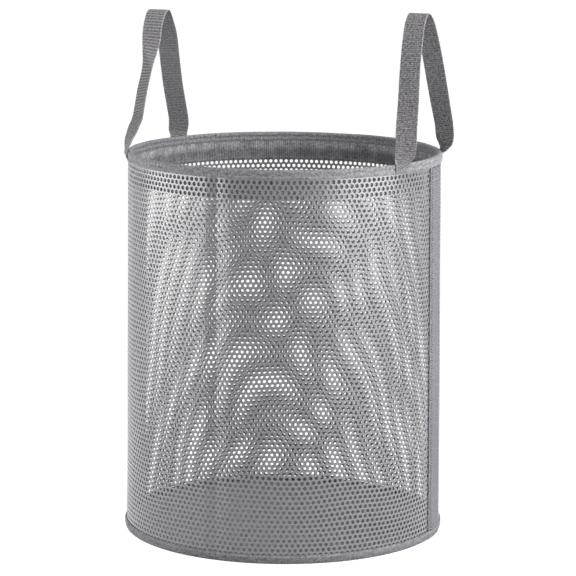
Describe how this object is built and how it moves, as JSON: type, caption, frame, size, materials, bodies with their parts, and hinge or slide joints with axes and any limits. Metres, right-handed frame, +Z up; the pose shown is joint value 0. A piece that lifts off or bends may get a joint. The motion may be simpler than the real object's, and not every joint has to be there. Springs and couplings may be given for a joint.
{
  "type": "pop up laundry hamper",
  "caption": "Round collapsible laundry hamper of punched mesh cloth with sprung rim and foot hoops, side stays and two webbing handles.",
  "frame": {"origin": "on the round body's axis, at floor level", "axes": "+Z up, +X towards one handle and -X towards the other, -Y towards the front panel"},
  "size_m": [0.3908, 0.387, 0.6309],
  "materials": {
    "mesh_cloth": "punched polyester mesh with round holes",
    "binding_cloth": "plain woven polyester",
    "facing_cloth": "plain woven polyester",
    "casing_cloth": "plain woven polyester",
    "webbing": "ribbed polyester webbing",
    "spring_steel": "drawn spring wire"
  },
  "bodies": {
    "base": {"mesh_wall_front": "mesh_cloth", "mesh_wall_back": "mesh_cloth", "bottom_binding": "binding_cloth", "base_panel": "facing_cloth", "bottom_hoop": "spring_steel", "bottom_hoop_sleeve": "spring_steel", "seam_casing_right": "casing_cloth", "seam_casing_left": "casing_cloth", "backing_tape_right": "casing_cloth", "backing_tape_left": "casing_cloth", "side_stay_right": "spring_steel", "side_stay_left": "spring_steel"},
    "rim": {"top_binding": "binding_cloth", "rim_facing": "facing_cloth", "top_hoop": "spring_steel", "top_hoop_sleeve": "spring_steel", "handle_tab_right_front": "webbing", "handle_tab_right_back": "webbing", "handle_tab_left_front": "webbing", "handle_tab_left_back": "webbing"},
    "handle_right": {"handle_loop_right": "webbing"},
    "handle_left": {"handle_loop_left": "webbing"}
  },
  "joints": [
    {"name": "collapse", "type": "slide", "parent": "base", "child": "rim", "axis": [0, 0, -1], "range_m": [0, 0.4], "stiffness_N_per_m": 60, "springref_m": -0.1, "deforming": ["mesh_wall_front", "mesh_wall_back", "seam_casing_right", "seam_casing_left", "backing_tape_right", "backing_tape_left", "side_stay_right", "side_stay_left"]},
    {"name": "handle_right_swing", "type": "hinge", "parent": "rim", "child": "handle_right", "pos_m": [0.18148, 0, 0.471], "axis": [0, -1, 0], "range_deg": [-150, 75]},
    {"name": "handle_left_swing", "type": "hinge", "parent": "rim", "child": "handle_left", "pos_m": [-0.18148, 0, 0.471], "axis": [0, 1, 0], "range_deg": [-150, 75]}
  ]
}
